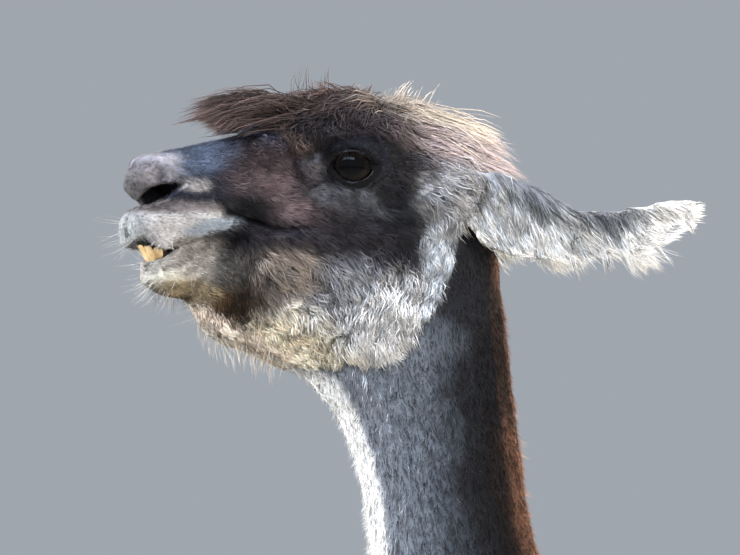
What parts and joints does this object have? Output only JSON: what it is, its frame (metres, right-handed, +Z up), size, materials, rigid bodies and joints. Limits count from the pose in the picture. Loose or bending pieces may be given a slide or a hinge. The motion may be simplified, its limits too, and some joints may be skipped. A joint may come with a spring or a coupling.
{
  "type": "llama",
  "caption": "Life-size standing llama with a short-shorn neck, woolly crown and ruff, head raised and ears laid back.",
  "frame": {"origin": "on the floor under the middle of the outline", "axes": "+Z up; the llama faces -X and its left side is -Y"},
  "size_m": [1.525, 0.3658, 1.755],
  "materials": {
    "coat": "wool and short hair, umber, slate and white",
    "eye": "wet, near-black brown",
    "tooth": "worn yellow enamel",
    "toenail": "dark horn"
  },
  "bodies": {
    "root": {"trunk": "coat", "neck": "coat", "head": "coat", "lower_jaw": "coat", "forelock": "coat", "ear_left": "coat", "ear_right": "coat", "tail": "coat", "foreleg_left_upper": "coat", "foreleg_left_shank": "coat", "foreleg_left_foot": "coat", "foreleg_left_nail_inner": "toenail", "foreleg_left_nail_outer": "toenail", "foreleg_right_upper": "coat", "foreleg_right_shank": "coat", "foreleg_right_foot": "coat", "foreleg_right_nail_inner": "toenail", "foreleg_right_nail_outer": "toenail", "hindleg_left_upper": "coat", "hindleg_left_shank": "coat", "hindleg_left_foot": "coat", "hindleg_left_nail_inner": "toenail", "hindleg_left_nail_outer": "toenail", "hindleg_right_upper": "coat", "hindleg_right_shank": "coat", "hindleg_right_foot": "coat", "hindleg_right_nail_inner": "toenail", "hindleg_right_nail_outer": "toenail", "eye_left": "eye", "eye_right": "eye", "lower_incisors": "tooth"}
  },
  "joints": []
}
